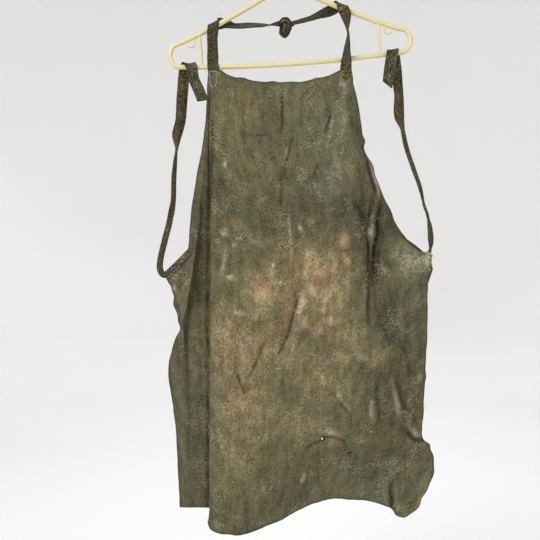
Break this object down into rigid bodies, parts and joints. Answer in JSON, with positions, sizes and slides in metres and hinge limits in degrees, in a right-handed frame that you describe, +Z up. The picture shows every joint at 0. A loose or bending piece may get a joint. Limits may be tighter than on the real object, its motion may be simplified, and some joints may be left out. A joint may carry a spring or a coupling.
{
  "type": "suede apron on a clothes hanger",
  "caption": "Worn suede work apron with a bib, knotted neck strap and waist ties laid over the bar of a plain plastic clothes hanger.",
  "frame": {"origin": "inside top of the hanger's hook, where a rail carries it", "axes": "+Z up, +X to the right of someone who looks at the apron's front, the front towards -Y"},
  "size_m": [0.4738, 0.108, 0.9931],
  "materials": {
    "suede": "napped grey-green suede with tan stains, scuffs and dark worn edges",
    "suede_strap": "napped suede strap, darker, with raw cut edges",
    "brass": "dull polished brass with dark tarnish",
    "hanger_plastic": "smooth cream plastic, satin",
    "thread": "pale cotton sewing thread"
  },
  "bodies": {
    "root": {"apron_body": "suede", "neck_strap_left": "suede_strap", "neck_strap_right": "suede_strap", "neck_knot": "suede_strap", "strap_stud": "brass", "waist_tie_left": "suede_strap", "waist_tie_right": "suede_strap", "hanger": "hanger_plastic"}
  },
  "joints": []
}
